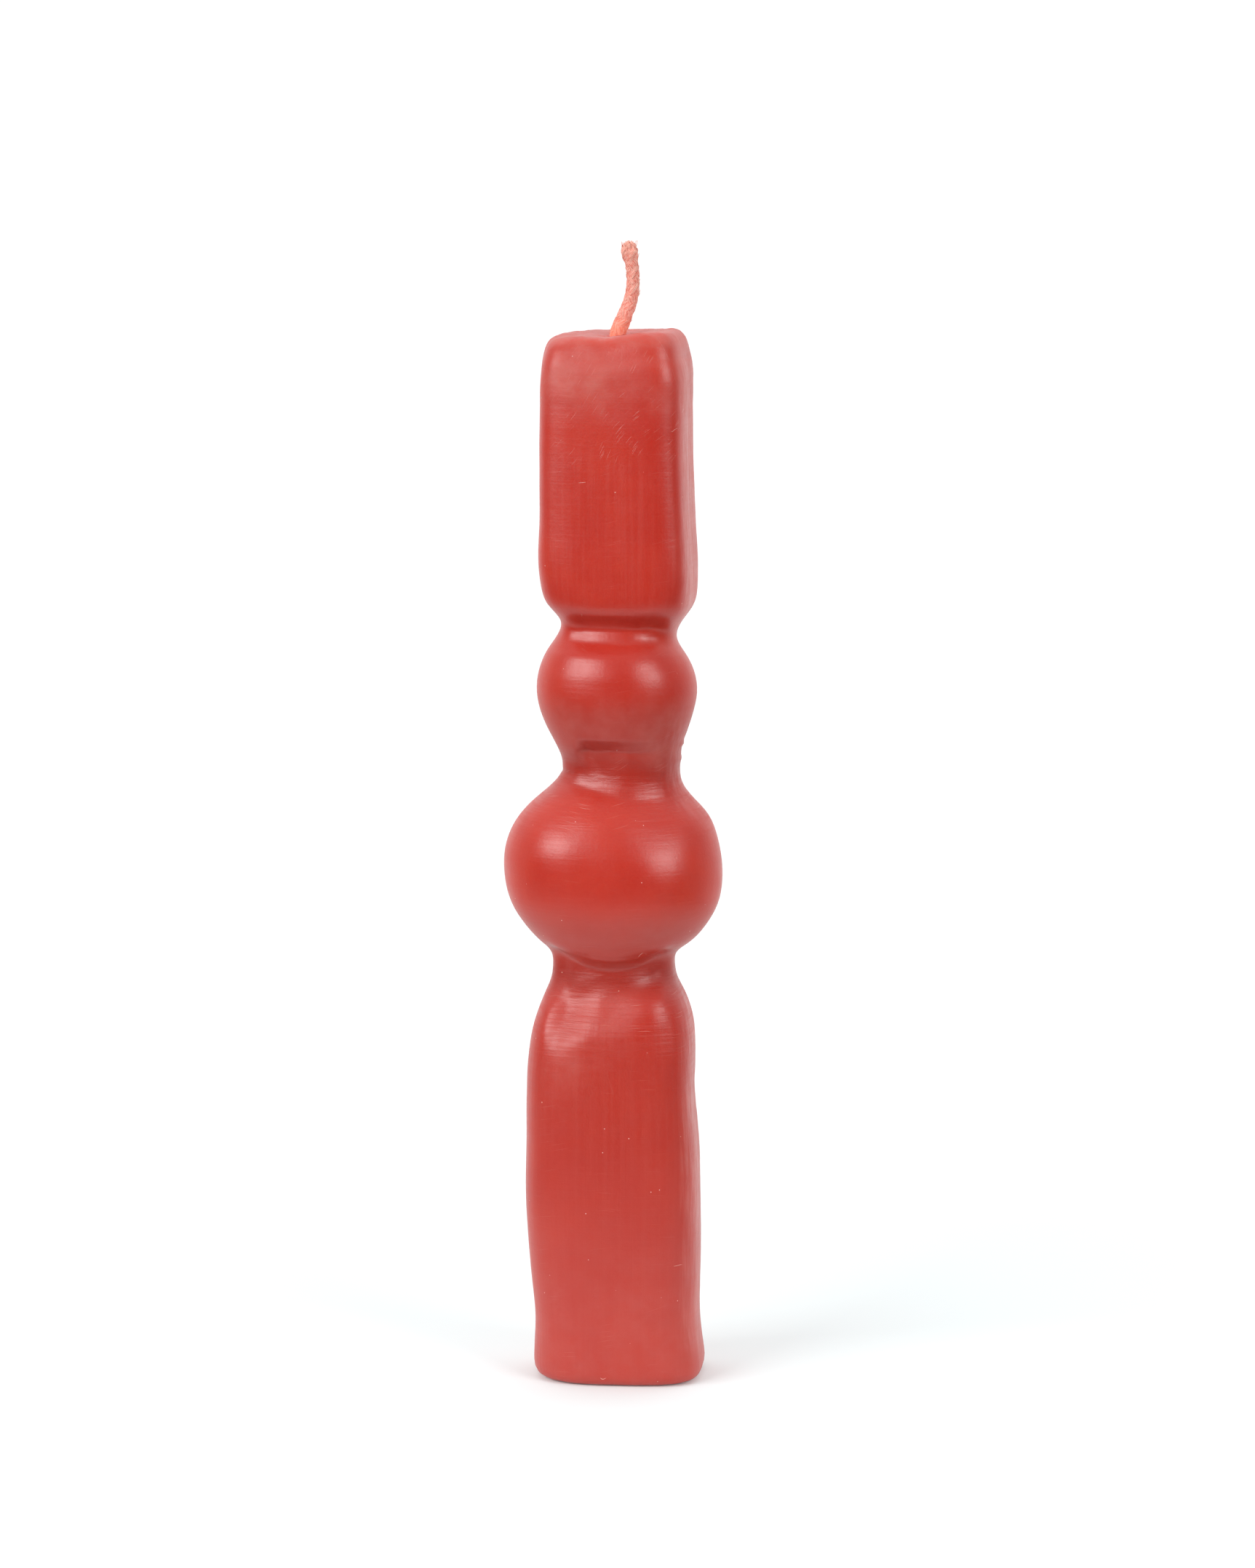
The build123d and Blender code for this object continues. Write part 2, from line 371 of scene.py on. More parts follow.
def channel_rings(crown_ring):
    """The rings from the top face in to the wick, down its channel and out to the foot."""
    centre = np.array([axis_x, 0.0, 0.0])
    turns = TURN * np.arange(COLUMNS) / COLUMNS + TURN / 4
    round_way = np.stack([np.cos(turns), np.sin(turns), np.zeros(COLUMNS)], axis=1)
    crown_height = float(crown_ring[:, 2].mean())
    rings = []
    for step, scale in enumerate(CROWN_HOLE_RINGS, start=1):
        share = step / len(CROWN_HOLE_RINGS)
        ring = centre + round_way * (wick_radius * scale)
        level = crown_ring[:, 2] * (1 - share) + crown_height * share
        ring[:, 2] = level + MENISCUS * MM * share ** 2
        rings.append(ring)
    for step in range(1, CHANNEL_STEPS):
        ring = centre + round_way * wick_radius
        ring[:, 2] = crown_height * (1 - step / CHANNEL_STEPS)
        rings.append(ring)
    for scale in reversed(FOOT_HOLE_RINGS):
        rings.append(centre + round_way * (wick_radius * scale))
    return rings


def wax_uvs(mesh, points):
    """A map in millimetres, round the candle and up it, for marks that run one way."""
    layer = mesh.uv_layers.new(name="wrap")
    heights = points[..., 2] / MM
    around = WRAP_RADIUS * TURN / COLUMNS
    corner_uvs = []
    for row, here in enumerate(heights):
        above = heights[min(row + 1, len(heights) - 1)]
        for column in range(COLUMNS):
            after = (column + 1) % COLUMNS
            left = column * around
            right = (column + 1) * around
            corner_uvs += [left, here[column], right, here[after]]
            corner_uvs += [right, above[after], left, above[column]]
    layer.data.foreach_set("uv", corner_uvs)


def face_masks(points):
    """Where the wax is rubbed dull with a painted sheen on it, scratched slantwise or level, brushed
    upright, trimmed,
    on top, or darkened with painted shade: a number from 0 to 1 at each point."""
    across, toward, height = face_places(points)
    front = step_up(toward, -2.0, 6.0)
    uneven = 0.75 + 0.5 * wander(points / MM, 6.0, shift=11.0)
    # The bloom mask is partly real dullness, which also roughens the wax, and partly painted sheen and
    # reflection: pale patches at the block's upper left, on the shoulder, the necks, under the bulb and
    # near the foot.
    block_bloom_and_sheen = 0.45 * between(height, 217.0, 224.0, 8.0)
    block_bloom_and_sheen += 1.0 * hill(height, 220.0, 5.5) * hill(across, -9.0, 6.5)
    shoulder_bloom_and_sheen = 0.4 * hill(height, 80.0, 8.0) * hill(across, -6.0, 9.0)
    shoulder_bloom_and_sheen += 0.35 * hill(height, 70.0, 8.0) * hill(across, -12.0, 6.0)
    neck_bloom_and_sheen = 0.5 * between(height, 140.0, 149.0, 5.0)
    neck_bloom_and_sheen += 0.4 * step_up(across, 2.0, 9.0) * hill(height, 139.0, 6.0)
    under_bloom_and_sheen = 0.3 * hill(height, 100.0, 6.0)
    foot_bloom_and_sheen = 0.35 * (1 - step_up(height, 8.0, 46.0))
    bloom_and_sheen = np.clip((block_bloom_and_sheen + shoulder_bloom_and_sheen + neck_bloom_and_sheen + under_bloom_and_sheen + foot_bloom_and_sheen) * uneven, 0, 1)
    slanted = between(height, 205.0, 224.0, 6.0)
    level = hill(height, 84.0, 9.0) + hill(height, 129.0, 6.0) + 0.25
    upright = between(height, 4.0, 76.0, 8.0) + between(height, 172.0, 200.0, 8.0) + 0.2
    cut = between(height, 172.0, 225.0, 5.0) + 0.7 * between(height, 10.0, 84.0, 5.0)
    trimmed = step_up(across, 12.0, 15.0) * cut * step_up(toward, -15.0, -6.0)
    top = step_up(height, 226.6, 228.4)
    # Painted shade: the wax is darkened towards the bottom, in the crease under the bulb, under the bulb,
    # in the lower neck and under the bead.
    painted_shade = 0.43 * (1 - step_up(height, 66.0, 100.0))
    painted_shade += 0.85 * hill(height, 90.5, 4.5) + 0.5 * hill(height, 100.0, 5.0)
    painted_shade += 0.75 * hill(height, 137.0, 6.0) + 0.45 * hill(height, 146.0, 5.0)
    # The top face gets extra pale colour here, a painted reflection.
    return {"bloom_and_sheen": np.clip(bloom_and_sheen * (0.35 + 0.65 * front) + 0.7 * top, 0, 1),
            "slanted": slanted * (0.25 + 0.75 * front),
            "level": np.clip(level, 0, 1),
            "upright": np.clip(upright, 0, 1),
            "trimmed": trimmed,
            "top": top,
            "painted_shade": np.clip(painted_shade, 0, 1)}


def build_wax():
    grid = wax_grid()
    points = np.array(list(grid) + channel_rings(grid[-1]))
    faces = []
    for row in range(len(points)):
        here = row * COLUMNS
        above = (row + 1) % len(points) * COLUMNS
        for column in range(COLUMNS):
            after = (column + 1) % COLUMNS
            faces.append((here + column, here + after, above + after, above + column))
    wax = add_mesh("wax", points.reshape(-1, 3), faces)
    wax_uvs(wax.data, points)
    for name, values in face_masks(points).items():
        add_mask(wax.data, name, values)
    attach(wax, "root")
    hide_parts("wax_body")
    return wax


# ---------------------------------------------------------------- the wick: eight braided yarns

# The wick's middle line, in mm right of the candle's axis and above the foot.
WICK_LINE = ((0.0, 0.0), (0.0, 219.0), (-0.40, 225.0), (-0.75, 228.0), (-0.35, 229.4),
             (0.22, 230.8), (1.50, 233.8), (2.50, 236.2), (2.95, 238.6), (3.05, 241.1),
             (2.90, 243.5), (2.45, 245.9), (2.05, 246.9), (2.20, 248.2))
WICK_SMOOTHING = 1.6        # mm up and down over which that line is evened out
# How thick the wick is at each height, as a share of the CAD wick.
WICK_GIRTH = ((0.0, 0.97), (225.0, 0.97), (227.6, 1.10), (229.4, 1.32), (230.8, 1.34),
              (233.8, 1.20), (236.2, 1.14), (238.6, 1.07), (241.1, 1.06), (243.5, 1.04),
              (245.0, 1.14), (246.9, 1.42), (248.2, 1.26))
BRAID_PITCH = 14.0          # mm for one turn of a yarn round the wick
CROSSINGS = 4               # yarns that wind each way
YARN_PATH_SHARE = 0.57      # radius of the yarns' path, as a share of the wick's
WEAVE_SHARE = 0.05          # how far a yarn goes in and out as it crosses the others
THICK_SHARE = 0.38          # half a yarn's thickness
WIDE_SHARE = 0.60           # half a yarn's width
PLY_LOBES = 5
PLY_PITCH = 3.4             # mm for one turn of the plies in a yarn
PLY_SHARE = 0.06            # how far the plies stand out of the yarn
UNEVEN_SHARE = 0.07         # how far it swells and narrows on top of that
YARN_SIDES = 24
YARN_ROUND = 4.4            # mm round a yarn
HIDDEN_STEP = 1.5           # mm between rings inside the wax
SEEN_STEP = 0.22            # mm between rings above it
SEEN_FROM = 226.0           # mm, a little below the top face
TUFT_ROOM = 1.5             # mm at the tip that is left for the frayed ends
FRAYED_FROM = 2.2           # mm below a yarn's end
TUFT_FIBRES = 24            # on each yarn
FUZZ_FIBRES = 110           # on each yarn
FIBRE_POINTS = 6
FIBRE_SIDES = 5


def wick_point(height):
    """The middle of the wick and its direction at a height in mm."""
    places = np.array(WICK_LINE)
    heights = height + np.linspace(-WICK_SMOOTHING, WICK_SMOOTHING, 9)
    offsets = np.interp(heights, places[:, 1], places[:, 0])
    slope = np.polyfit(heights, offsets, 1)[0]
    middle = np.array([axis_x / MM + offsets.mean(), 0.0, height])
    along = np.array([slope, 0.0, 1.0])
    return middle, along / np.linalg.norm(along)


def ways_at(along, angle):
    """Directions out of the wick and round it, at that angle."""
    right = np.array([along[2], 0.0, -along[0]])
    back = np.array([0.0, 1.0, 0.0])
    out = right * math.cos(angle) + back * math.sin(angle)
    round_way = back * math.cos(angle) - right * math.sin(angle)
    return out, round_way


def yarn_middle(index, height):
    """Where a yarn's middle is, with its directions and the wick's radius there, in mm."""
    middle, along = wick_point(height)
    girth = wick_radius / MM * np.interp(height, *np.array(WICK_GIRTH).T)
    turn = TURN * height / BRAID_PITCH
    way = 1 if index % 2 == 0 else -1
    start = TURN * (index // 2) / CROSSINGS + (0 if way > 0 else TURN / 8)
    angle = start + way * turn
    out, round_way = ways_at(along, angle)
    radius = girth * (YARN_PATH_SHARE + way * WEAVE_SHARE * math.sin(CROSSINGS * turn))
    return middle + out * radius, out, round_way, girth


def yarn_heights(top):
    """The heights of a yarn's rings, closer together where it shows."""
    hidden = list(np.arange(0.0, SEEN_FROM, HIDDEN_STEP))
    return hidden + list(np.arange(SEEN_FROM, top, SEEN_STEP)) + [top]


def tube_faces(first, rings, sides):
    """The faces of a closed tube whose corners start at number first."""
    faces = []
    for ring in range(rings - 1):
        for side in range(sides):
            after = (side + 1) % sides
            here = first + ring * sides
            above = here + sides
            faces.append((here + side, here + after, above + after, above + side))
    faces.append(tuple(first + side for side in reversed(range(sides))))
    faces.append(tuple(first + (rings - 1) * sides + side for side in range(sides)))
    return faces


def add_fibre(vertices, faces, points, radii):
    """A thin fibre through the points."""
    first = len(vertices)
    for at, (point, radius) in enumerate(zip(points, radii)):
        ahead = points[min(at + 1, len(points) - 1)] - points[max(at - 1, 0)]
        ahead = ahead / max(np.linalg.norm(ahead), 1e-9)
        side = np.cross(ahead, np.array([0.31, 0.95, 0.05]))
        side = side / np.linalg.norm(side)
        other = np.cross(ahead, side)
        for corner in range(FIBRE_SIDES):
            turn = TURN * corner / FIBRE_SIDES
            vertices.append(point + radius * (side * math.cos(turn) + other * math.sin(turn)))
    faces += tube_faces(first, len(points), FIBRE_SIDES)


def build_yarn(index, name, draw):
    top = wick_tip / MM - TUFT_ROOM - 0.6 * draw.random()
    heights = yarn_heights(top)
    vertices = []
    for height in heights:
        middle, out, round_way, girth = yarn_middle(index, height)
        narrowing = 1 - 0.38 * float(step_up(height, top - 1.0, top))
        for side in range(YARN_SIDES):
            turn = TURN * side / YARN_SIDES
            uneven = noise.noise(Vector((index * 7.0, height * 0.9, side * 0.35)))
            lobes = 1 + PLY_SHARE * math.cos(PLY_LOBES * turn + TURN * height / PLY_PITCH)
            lobes *= narrowing * (1 + UNEVEN_SHARE * uneven)
            edge = out * THICK_SHARE * math.sin(turn) + round_way * WIDE_SHARE * math.cos(turn)
            vertices.append(middle + girth * lobes * edge)
    faces = tube_faces(0, len(heights), YARN_SIDES)
    add_tuft(vertices, faces, index, top, draw)
    add_fuzz(vertices, faces, index, top, draw)
    piece = add_mesh(name, np.array(vertices) * MM, faces)
    yarn_uvs(piece.data, heights)
    loose = np.ones(len(vertices))
    near_tip = 0.8 * step_up(np.array(heights), top - FRAYED_FROM, top)
    loose[:len(heights) * YARN_SIDES] = np.repeat(near_tip, YARN_SIDES)
    add_mask(piece.data, "loose", loose)
    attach(piece, "root")
    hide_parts("wick_yarn_" + name.rsplit("_", 1)[1])
    return piece


def yarn_uvs(mesh, heights):
    """A map in millimetres, along the yarn and round it, for its strands. The fibres stay at 0."""
    layer = mesh.uv_layers.new(name="wrap")
    corner_uvs = []
    for low, high in zip(heights[:-1], heights[1:]):
        for side in range(YARN_SIDES):
            left = side * YARN_ROUND / YARN_SIDES
            right = (side + 1) * YARN_ROUND / YARN_SIDES
            corner_uvs += [low, left, low, right, high, right, high, left]
    corner_uvs += [0.0] * (2 * len(mesh.loops) - len(corner_uvs))
    layer.data.foreach_set("uv", corner_uvs)


def add_tuft(vertices, faces, index, top, draw):
    """The frayed ends of the yarn's plies. The further in they start, the higher they reach."""
    middle, out, round_way, _ = yarn_middle(index, top)
    _, along = wick_point(top)
    for _ in range(TUFT_FIBRES):
        inwards = draw.uniform(0.0, 1.35)
        start = middle + out * (0.38 - inwards) + round_way * draw.uniform(-0.60, 0.60) - along * 1.0
        lean = out * draw.uniform(-0.12, 0.10) + round_way * draw.uniform(-0.12, 0.12)
        length = draw.uniform(1.2, 1.9) + 0.45 * inwards
        thickness = draw.uniform(0.16, 0.25)
        shares = np.linspace(0.0, 1.0, FIBRE_POINTS)
        points = [start + length * (along * share + lean * share ** 1.6) for share in shares]
        radii = [thickness * (1 - 0.6 * share ** 3) for share in shares]
        add_fibre(vertices, faces, points, radii)


def add_fuzz(vertices, faces, index, top, draw):
    """Loose fibres that lie along the yarn and lift off it here and there."""
    for _ in range(FUZZ_FIBRES):
        low = draw.uniform(wax_top / MM - 0.5, top - 1.0)
        length = draw.uniform(0.9, 3.0)
        drift = draw.uniform(-0.5, 0.5)
        rise = draw.uniform(-0.02, 0.05) if draw.random() < 0.96 else draw.uniform(0.10, 0.30)
        points = []
        for share in np.linspace(0.0, 1.0, FIBRE_POINTS):
            middle, out, round_way, girth = yarn_middle(index, low + length * share)
            aside = drift * (1.2 * share - 0.5)
            off = girth * THICK_SHARE * math.sqrt(max(0.1, 1 - (aside / (girth * WIDE_SHARE)) ** 2))
            points.append(middle + out * (off + rise * share ** 2) + round_way * aside)
        add_fibre(vertices, faces, points, [draw.uniform(0.035, 0.060)] * FIBRE_POINTS)


def build_wick():
    draw = random.Random(11)
    return [build_yarn(index, "wick_yarn_braided_" + name.rsplit("_", 1)[1], draw)
            for index, name in enumerate(yarn_names)]


# ---------------------------------------------------------------- materials

SWAY_SIZE = 45.0            # mm from one bend of a scratch to the next
SWAY_REACH = 16.0           # mm that it strays to the side


def grade(node, start, end, low, high):
    """Sets a MapRange node to run from low at start to high at end."""
    node.inputs["From Min"].default_value = start
    node.inputs["From Max"].default_value = end
    node.inputs["To Min"].default_value = low
    node.inputs["To Max"].default_value = high


class Recipe:
    """Builds one material a step at a time, so that it reads like a formula."""

    def __init__(self, name):
        self.material = bpy.data.materials.new(name)
        self.material.use_nodes = True
        self.nodes = self.material.node_tree.nodes
        self.links = self.material.node_tree.links
        self.nodes.clear()
        output = self.nodes.new("ShaderNodeOutputMaterial")
        self.shader = self.nodes.new("ShaderNodeBsdfPrincipled")
        self.links.new(self.shader.outputs["BSDF"], output.inputs["Surface"])

    def feed(self, socket, value):
        """Gives the socket a constant, or links another node's output to it."""
        if isinstance(value, (int, float)):
            socket.default_value = value
        elif isinstance(value, tuple):
            socket.default_value = value if len(socket.default_value) == len(value) else (*value, 1.0)
        else:
            self.links.new(value, socket)

    def reckon(self, operation, first, second=0.0):
        node = self.nodes.new("ShaderNodeMath")
        node.operation = operation
        self.feed(node.inputs[0], first)
        self.feed(node.inputs[1], second)
        return node.outputs[0]

    def times(self, first, second):
        return self.reckon("MULTIPLY", first, second)

    def plus(self, first, second):
        return self.reckon("ADD", first, second)

    def ramp(self, value, start, end, low=0.0, high=1.0):
        """low up to start, high from end on, and smooth between."""
        node = self.nodes.new("ShaderNodeMapRange")
        node.interpolation_type = "SMOOTHSTEP"
        self.feed(node.inputs["Value"], value)
        grade(node, start, end, low, high)
        return node.outputs["Result"]

    def mask(self, name):
        """The number that add_mask stored at each point."""
        node = self.nodes.new("ShaderNodeAttribute")
        node.attribute_name = name
        return node.outputs["Fac"]

    def places(self):
        """The point's place on the object, in mm."""
        node = self.nodes.new("ShaderNodeTexCoord")
        return self.stretch(node.outputs["Object"], (1 / MM, 1 / MM, 1 / MM))

    def height(self, vector):
        """How high a place is."""
        node = self.nodes.new("ShaderNodeSeparateXYZ")
        self.links.new(vector, node.inputs[0])
        return node.outputs["Z"]

    def wrap(self):
        """The point's place on the unrolled surface, in mm."""
        node = self.nodes.new("ShaderNodeUVMap")
        node.uv_map = "wrap"
        return node.outputs["UV"]

    def rolled(self, vector, turn):
        """The place after a turn of that many degrees about z."""
        node = self.nodes.new("ShaderNodeVectorRotate")
        node.rotation_type = "Z_AXIS"
        self.links.new(vector, node.inputs["Vector"])
        node.inputs["Angle"].default_value = math.radians(turn)
        return node.outputs["Vector"]

    def stretch(self, vector, scale, shift=(0.0, 0.0, 0.0)):
        """The place times scale, and then moved by shift."""
        node = self.nodes.new("ShaderNodeMapping")
        node.vector_type = "POINT"
        self.links.new(vector, node.inputs["Vector"])
        node.inputs["Scale"].default_value = scale
        node.inputs["Location"].default_value = shift
        return node.outputs["Vector"]

    def noise(self, vector, size, detail=2.0, rough=0.5, bend=0.0):
        """Smooth noise from 0 to 1, with features of about that size in mm."""
        node = self.nodes.new("ShaderNodeTexNoise")
        self.links.new(vector, node.inputs["Vector"])
        node.inputs["Scale"].default_value = 1.0 / size
        node.inputs["Detail"].default_value = detail
        node.inputs["Roughness"].default_value = rough
        node.inputs["Distortion"].default_value = bend
        return node.outputs["Fac"]

    def cells(self, vector, size):
        """Distance to the nearest of many scattered points, and a random number for that point."""
        node = self.nodes.new("ShaderNodeTexVoronoi")
        self.links.new(vector, node.inputs["Vector"])
        node.inputs["Scale"].default_value = 1.0 / size
        split = self.nodes.new("ShaderNodeSeparateColor")
        self.links.new(node.outputs["Color"], split.inputs["Color"])
        return node.outputs["Distance"], split.outputs[0]

    def blend(self, factor, first, second):
        """The first colour at 0 and the second at 1. Sockets 6, 7 and 2 are the node's colour ones."""
        node = self.nodes.new("ShaderNodeMix")
        node.data_type = "RGBA"
        self.feed(node.inputs["Factor"], factor)
        self.feed(node.inputs[6], first)
        self.feed(node.inputs[7], second)
        return node.outputs[2]

    def bump(self, height):
        """Relief on the surface, by its height in mm."""
        node = self.nodes.new("ShaderNodeBump")
        node.inputs["Strength"].default_value = 1.0
        node.inputs["Distance"].default_value = MM
        self.links.new(height, node.inputs["Height"])
        self.links.new(node.outputs["Normal"], self.shader.inputs["Normal"])

    def scratches(self, turn, length, width, apart, share, shift):
        """Gently swaying hairlines that run turn degrees from level, where share of them show: 0 to 1."""
        surface = self.wrap()
        sway = self.nodes.new("ShaderNodeTexNoise")
        self.links.new(surface, sway.inputs["Vector"])
        sway.inputs["Scale"].default_value = 1 / SWAY_SIZE
        swayed = self.nodes.new("ShaderNodeVectorMath")
        swayed.operation = "MULTIPLY_ADD"
        self.links.new(sway.outputs["Color"], swayed.inputs[0])
        swayed.inputs[1].default_value = (SWAY_REACH, SWAY_REACH, 0.0)
        self.links.new(surface, swayed.inputs[2])
        level = self.rolled(swayed.outputs[0], -turn)
        lined = self.stretch(level, (width / length, 1.0, 1.0), (shift, shift, shift))
        distance, chance = self.cells(lined, apart)
        line = self.ramp(distance, 0.25 * width / apart, width / apart, 1.0, 0.0)
        return self.times(line, self.ramp(chance, 1 - share, min(1.0, 1 - share + 0.5)))


def wax_material():
    r = Recipe("red_wax")
    places = r.places()
    surface = r.wrap()
    bloom_and_sheen = r.mask("bloom_and_sheen")

    cloud = r.ramp(r.noise(places, 19.0, 3.0, 0.55), 0.34, 0.66)
    mottle = r.noise(places, 3.4, 4.0, 0.6)
    grain = r.noise(places, 0.42, 2.0, 0.7)
    brushed = r.noise(r.stretch(surface, (1.0, 0.035, 1.0)), 1.5, 3.0, 0.6)
    brushed = r.times(r.ramp(brushed, 0.38, 0.68), r.mask("upright"))
    dragged = r.noise(r.stretch(surface, (0.05, 1.0, 1.0)), 0.8, 3.0, 0.6)
    dragged = r.times(r.ramp(dragged, 0.40, 0.70), r.mask("level"))

    fine_slant = r.times(r.scratches(48, 1.6, 0.075, 0.26, 0.7, 0.0), r.times(r.mask("slanted"), 0.55))
    cross_slant = r.times(r.scratches(55, 6.0, 0.085, 0.9, 0.30, 31.0), r.times(r.mask("slanted"), 0.9))
    level_lines = r.times(r.scratches(4, 3.0, 0.09, 0.4, 0.6, 57.0), r.times(r.mask("level"), 0.8))
    stray_lines = r.times(r.scratches(112, 3.0, 0.085, 1.3, 0.35, 83.0), 0.7)
    slants = r.reckon("MAXIMUM", fine_slant, cross_slant)
    lines = r.reckon("MAXIMUM", slants, r.reckon("MAXIMUM", level_lines, stray_lines))

    spot_distance, spot_chance = r.cells(places, 3.2)
    lint = r.times(r.ramp(spot_distance, 0.025, 0.045, 1.0, 0.0), r.ramp(spot_chance, 0.40, 0.45))
    curl_distance, curl_chance = r.cells(r.stretch(places, (1, 1, 1), (40.0, 7.0, 19.0)), 10.0)
    curl = r.reckon("ABSOLUTE", r.reckon("SUBTRACT", r.noise(places, 3.6, 0.0), 0.5))
    curl = r.times(r.ramp(curl, 0.003, 0.010, 1.0, 0.0), r.ramp(curl_distance, 0.08, 0.14, 1.0, 0.0))
    curl = r.times(curl, r.ramp(curl_chance, 0.35, 0.40))
    specks = r.reckon("MAXIMUM", lint, curl)

    colour = r.blend(cloud, (0.520, 0.026, 0.013), (0.572, 0.036, 0.017))
    colour = r.blend(r.times(r.ramp(mottle, 0.30, 0.70), 0.35), colour, (0.520, 0.030, 0.018))
    colour = r.blend(r.times(r.ramp(grain, 0.35, 0.75), 0.10), colour, (0.66, 0.075, 0.045))
    colour = r.blend(r.times(brushed, 0.10), colour, (0.62, 0.10, 0.07))
    # Painted shade: darker red towards the bottom and in the necks and creases.
    colour = r.blend(r.mask("painted_shade"), colour, (0.370, 0.022, 0.012))
    # Painted sheen: the bloom mask paints pale pinkish patches where highlights and reflections fall, over
    # a little real dullness.
    bloom_and_sheen_tint = r.times(bloom_and_sheen, r.ramp(mottle, 0.25, 0.75, 0.14, 0.36))
    colour = r.blend(bloom_and_sheen_tint, colour, (0.68, 0.24, 0.20))
    colour = r.blend(r.times(lines, 0.40), colour, (0.80, 0.36, 0.30))
    streaks = r.noise(r.stretch(surface, (1.0, 0.08, 1.0)), 1.1, 4.0, 0.65, 0.6)
    streaks = r.ramp(streaks, 0.40, 0.70, 0.05, 0.24)
    streaks = r.times(streaks, r.ramp(r.noise(places, 9.0, 2.0), 0.35, 0.65, 0.35, 1.0))
    colour = r.blend(r.times(r.mask("trimmed"), streaks), colour, (0.80, 0.42, 0.38))
    colour = r.blend(r.times(specks, 0.72), colour, (0.93, 0.60, 0.52))
    r.feed(r.shader.inputs["Base Color"], colour)

    rough = r.plus(0.345, r.times(bloom_and_sheen, 0.17))
    rough = r.plus(rough, r.times(r.reckon("SUBTRACT", mottle, 0.5), 0.12))
    rough = r.plus(rough, r.times(brushed, 0.05))
    rough = r.plus(rough, r.times(dragged, 0.10))
    rough = r.plus(rough, r.times(r.mask("top"), -0.05))
    r.feed(r.shader.inputs["Roughness"], r.plus(rough, r.times(specks, 0.3)))

    height = r.plus(r.times(r.noise(places, 0.55, 3.0, 0.6), 0.020), r.times(grain, 0.010))
    height = r.plus(height, r.times(mottle, 0.045))
    height = r.plus(height, r.times(brushed, 0.012))
    height = r.plus(height, r.times(dragged, 0.028))
    height = r.plus(height, r.times(lines, -0.020))
    height = r.plus(height, r.times(specks, 0.03))
    pits = r.noise(r.stretch(places, (1.0, 1.0, 0.35)), 0.7, 3.0, 0.65)
    height = r.plus(height, r.times(r.times(pits, r.mask("trimmed")), 0.07))
    r.bump(height)

    r.shader.inputs["IOR"].default_value = 1.48
    r.shader.inputs["Specular IOR Level"].default_value = 0.60
    r.shader.inputs["Subsurface Weight"].default_value = 0.35
    r.shader.inputs["Subsurface Radius"].default_value = (1.0, 0.16, 0.08)
    r.shader.inputs["Subsurface Scale"].default_value = 2.2 * MM
    return r.material


def wick_material():
    r = Recipe("wick_cotton")
    places = r.places()
    strands = r.noise(r.stretch(r.rolled(r.wrap(), 9.0), (0.16, 1.0, 1.0)), 0.20, 4.0, 0.75)
    tufts = r.noise(places, 1.6, 3.0, 0.6)
    colour = r.blend(r.ramp(strands, 0.40, 0.60), (0.76, 0.150, 0.095), (0.95, 0.50, 0.41))
    colour = r.blend(r.times(r.ramp(tufts, 0.45, 0.70), 0.35), colour, (0.95, 0.52, 0.43))
    frayed = r.times(r.mask("loose"), r.ramp(tufts, 0.3, 0.6, 0.30, 0.70))
    colour = r.blend(frayed, colour, (0.96, 0.55, 0.44))
    waxed = r.ramp(r.height(places), wax_top / MM + 0.5, wax_top / MM + 5.0, 1.0, 0.0)
    colour = r.blend(r.times(waxed, 0.50), colour, (0.88, 0.25, 0.13))
    r.feed(r.shader.inputs["Base Color"], colour)
    r.feed(r.shader.inputs["Roughness"], r.ramp(strands, 0.3, 0.7, 0.62, 0.80))
    r.bump(r.times(strands, 0.06))
    return r.material


# ---------------------------------------------------------------- stage, light and camera

CAMERA_AZIMUTH = math.radians(5.0)      # to the right of straight in front
CAMERA_DISTANCE = 1.2
CAMERA_HEIGHT = 0.3034
CAMERA_PITCH = math.radians(8.165)
CAMERA_SIDESTEP = 0.0018
FRAME_HEIGHT_MM = 36.0
LENS_MM = 127.7


def add_camera():
    camera_data = bpy.data.cameras.new("camera")
    camera_data.sensor_fit = "VERTICAL"
    camera_data.sensor_height = FRAME_HEIGHT_MM
    camera_data.lens = LENS_MM
    camera = bpy.data.objects.new("camera", camera_data)
    bpy.context.scene.collection.objects.link(camera)
    toward = Vector((math.sin(CAMERA_AZIMUTH), -math.cos(CAMERA_AZIMUTH), 0.0))
    right = Vector((math.cos(CAMERA_AZIMUTH), math.sin(CAMERA_AZIMUTH), 0.0))
    place = Vector((axis_x, 0.0, CAMERA_HEIGHT)) + toward * CAMERA_DISTANCE + right * CAMERA_SIDESTEP
    look = -toward * math.cos(CAMERA_PITCH) - Vector((0, 0, 1)) * math.sin(CAMERA_PITCH)
    camera.location = place
    camera.rotation_euler = look.to_track_quat("-Z", "Y").to_euler()
    bpy.context.scene.camera = camera


FLOOR_RADIUS = 0.32
FLOOR_SOLID = 0.085         # from here outwards the floor fades into the white surroundings
FLOOR_GLOW = 0.09
FLOOR_SIDES = 96


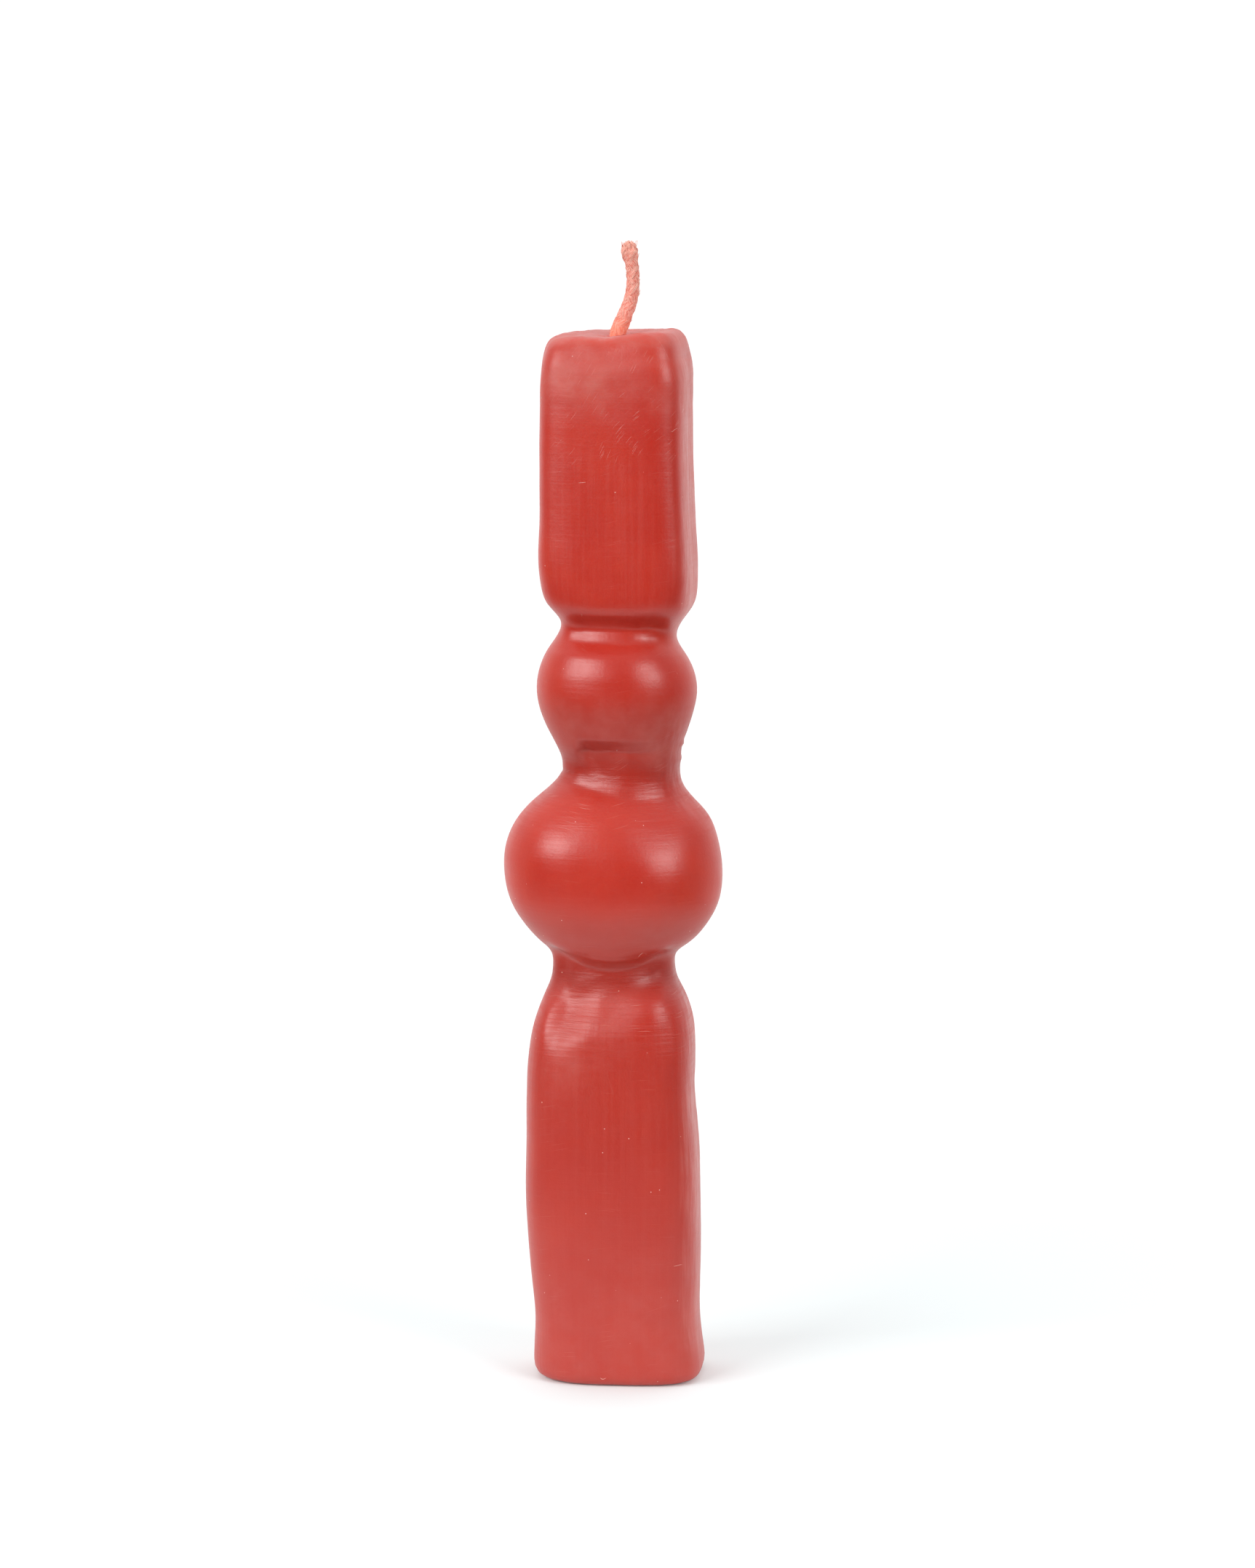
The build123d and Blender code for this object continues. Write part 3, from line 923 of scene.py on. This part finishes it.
def add_floor():
    """A white disc that catches the soft shadow and melts into the white studio round it."""
    turns = [TURN * side / FLOOR_SIDES for side in range(FLOOR_SIDES)]
    rim = [(FLOOR_RADIUS * math.cos(turn), FLOOR_RADIUS * math.sin(turn), 0.0) for turn in turns]
    floor = add_mesh("floor", rim, [tuple(range(FLOOR_SIDES))])
    r = Recipe("floor_white")
    places = r.nodes.new("ShaderNodeTexCoord")
    reach = r.nodes.new("ShaderNodeVectorMath")
    reach.operation = "LENGTH"
    r.links.new(places.outputs["Object"], reach.inputs[0])
    solid = r.ramp(reach.outputs["Value"], FLOOR_SOLID, FLOOR_RADIUS * 0.95, 1.0, 0.0)
    r.feed(r.shader.inputs["Alpha"], solid)
    r.shader.inputs["Base Color"].default_value = (0.79, 0.845, 0.85, 1)
    r.shader.inputs["Roughness"].default_value = 1.0
    r.shader.inputs["Specular IOR Level"].default_value = 0.0
    r.shader.inputs["Emission Color"].default_value = (1, 1, 1, 1)
    r.shader.inputs["Emission Strength"].default_value = FLOOR_GLOW
    floor.data.materials.append(r.material)


SOFTBOX_DISTANCE = 0.9
SOFTBOX_HEIGHT = 0.32
SOFTBOX_AIM = 0.15          # the height on the candle that they point at


def add_softbox(name, azimuth, elevation, width, power):
    """A soft rectangular lamp, azimuth degrees to the right of the camera."""
    light_data = bpy.data.lights.new(name, "AREA")
    light_data.shape = "RECTANGLE"
    light_data.size = width
    light_data.size_y = SOFTBOX_HEIGHT
    light_data.energy = power
    light = bpy.data.objects.new(name, light_data)
    bpy.context.scene.collection.objects.link(light)
    turn = CAMERA_AZIMUTH + math.radians(azimuth)
    lift = math.radians(elevation)
    way = Vector((math.sin(turn) * math.cos(lift), -math.cos(turn) * math.cos(lift), math.sin(lift)))
    light.location = Vector((axis_x, 0.0, SOFTBOX_AIM)) + way * SOFTBOX_DISTANCE
    light.rotation_euler = (-way).to_track_quat("-Z", "Y").to_euler()


def add_world():
    """Pure white to look at; as light it is bright behind and above the candle and dim in front of it."""
    world = bpy.data.worlds.new("studio")
    bpy.context.scene.world = world
    world.use_nodes = True
    nodes = world.node_tree.nodes
    links = world.node_tree.links
    nodes.clear()
    output = nodes.new("ShaderNodeOutputWorld")
    mix = nodes.new("ShaderNodeMixShader")
    seen = nodes.new("ShaderNodeBackground")
    lit = nodes.new("ShaderNodeBackground")
    path = nodes.new("ShaderNodeLightPath")
    coords = nodes.new("ShaderNodeTexCoord")
    split = nodes.new("ShaderNodeSeparateXYZ")
    behind = nodes.new("ShaderNodeMapRange")
    above = nodes.new("ShaderNodeMapRange")
    both = nodes.new("ShaderNodeMath")
    links.new(coords.outputs["Generated"], split.inputs[0])
    links.new(split.outputs["Y"], behind.inputs["Value"])
    grade(behind, -0.12, 0.68, 0.09, 1.35)
    links.new(split.outputs["Z"], above.inputs["Value"])
    grade(above, 0.30, 0.85, 0.0, 0.75)
    both.operation = "ADD"
    links.new(behind.outputs["Result"], both.inputs[0])
    links.new(above.outputs["Result"], both.inputs[1])
    links.new(both.outputs[0], lit.inputs["Strength"])
    seen.inputs["Color"].default_value = (1, 1, 1, 1)
    seen.inputs["Strength"].default_value = 1.05
    links.new(path.outputs["Is Camera Ray"], mix.inputs["Fac"])
    links.new(lit.outputs[0], mix.inputs[1])
    links.new(seen.outputs[0], mix.inputs[2])
    links.new(mix.outputs[0], output.inputs["Surface"])


add_camera()
add_floor()
add_world()
add_softbox("softbox_left", azimuth=-51, elevation=22, width=0.70, power=6.4)
add_softbox("softbox_right", azimuth=43, elevation=20.5, width=0.48, power=3.9)
bpy.context.scene.view_settings.view_transform = "Standard"

wax = build_wax()
wax.data.materials.append(wax_material())

cotton = wick_material()
for yarn in build_wick():
    yarn.data.materials.append(cotton)
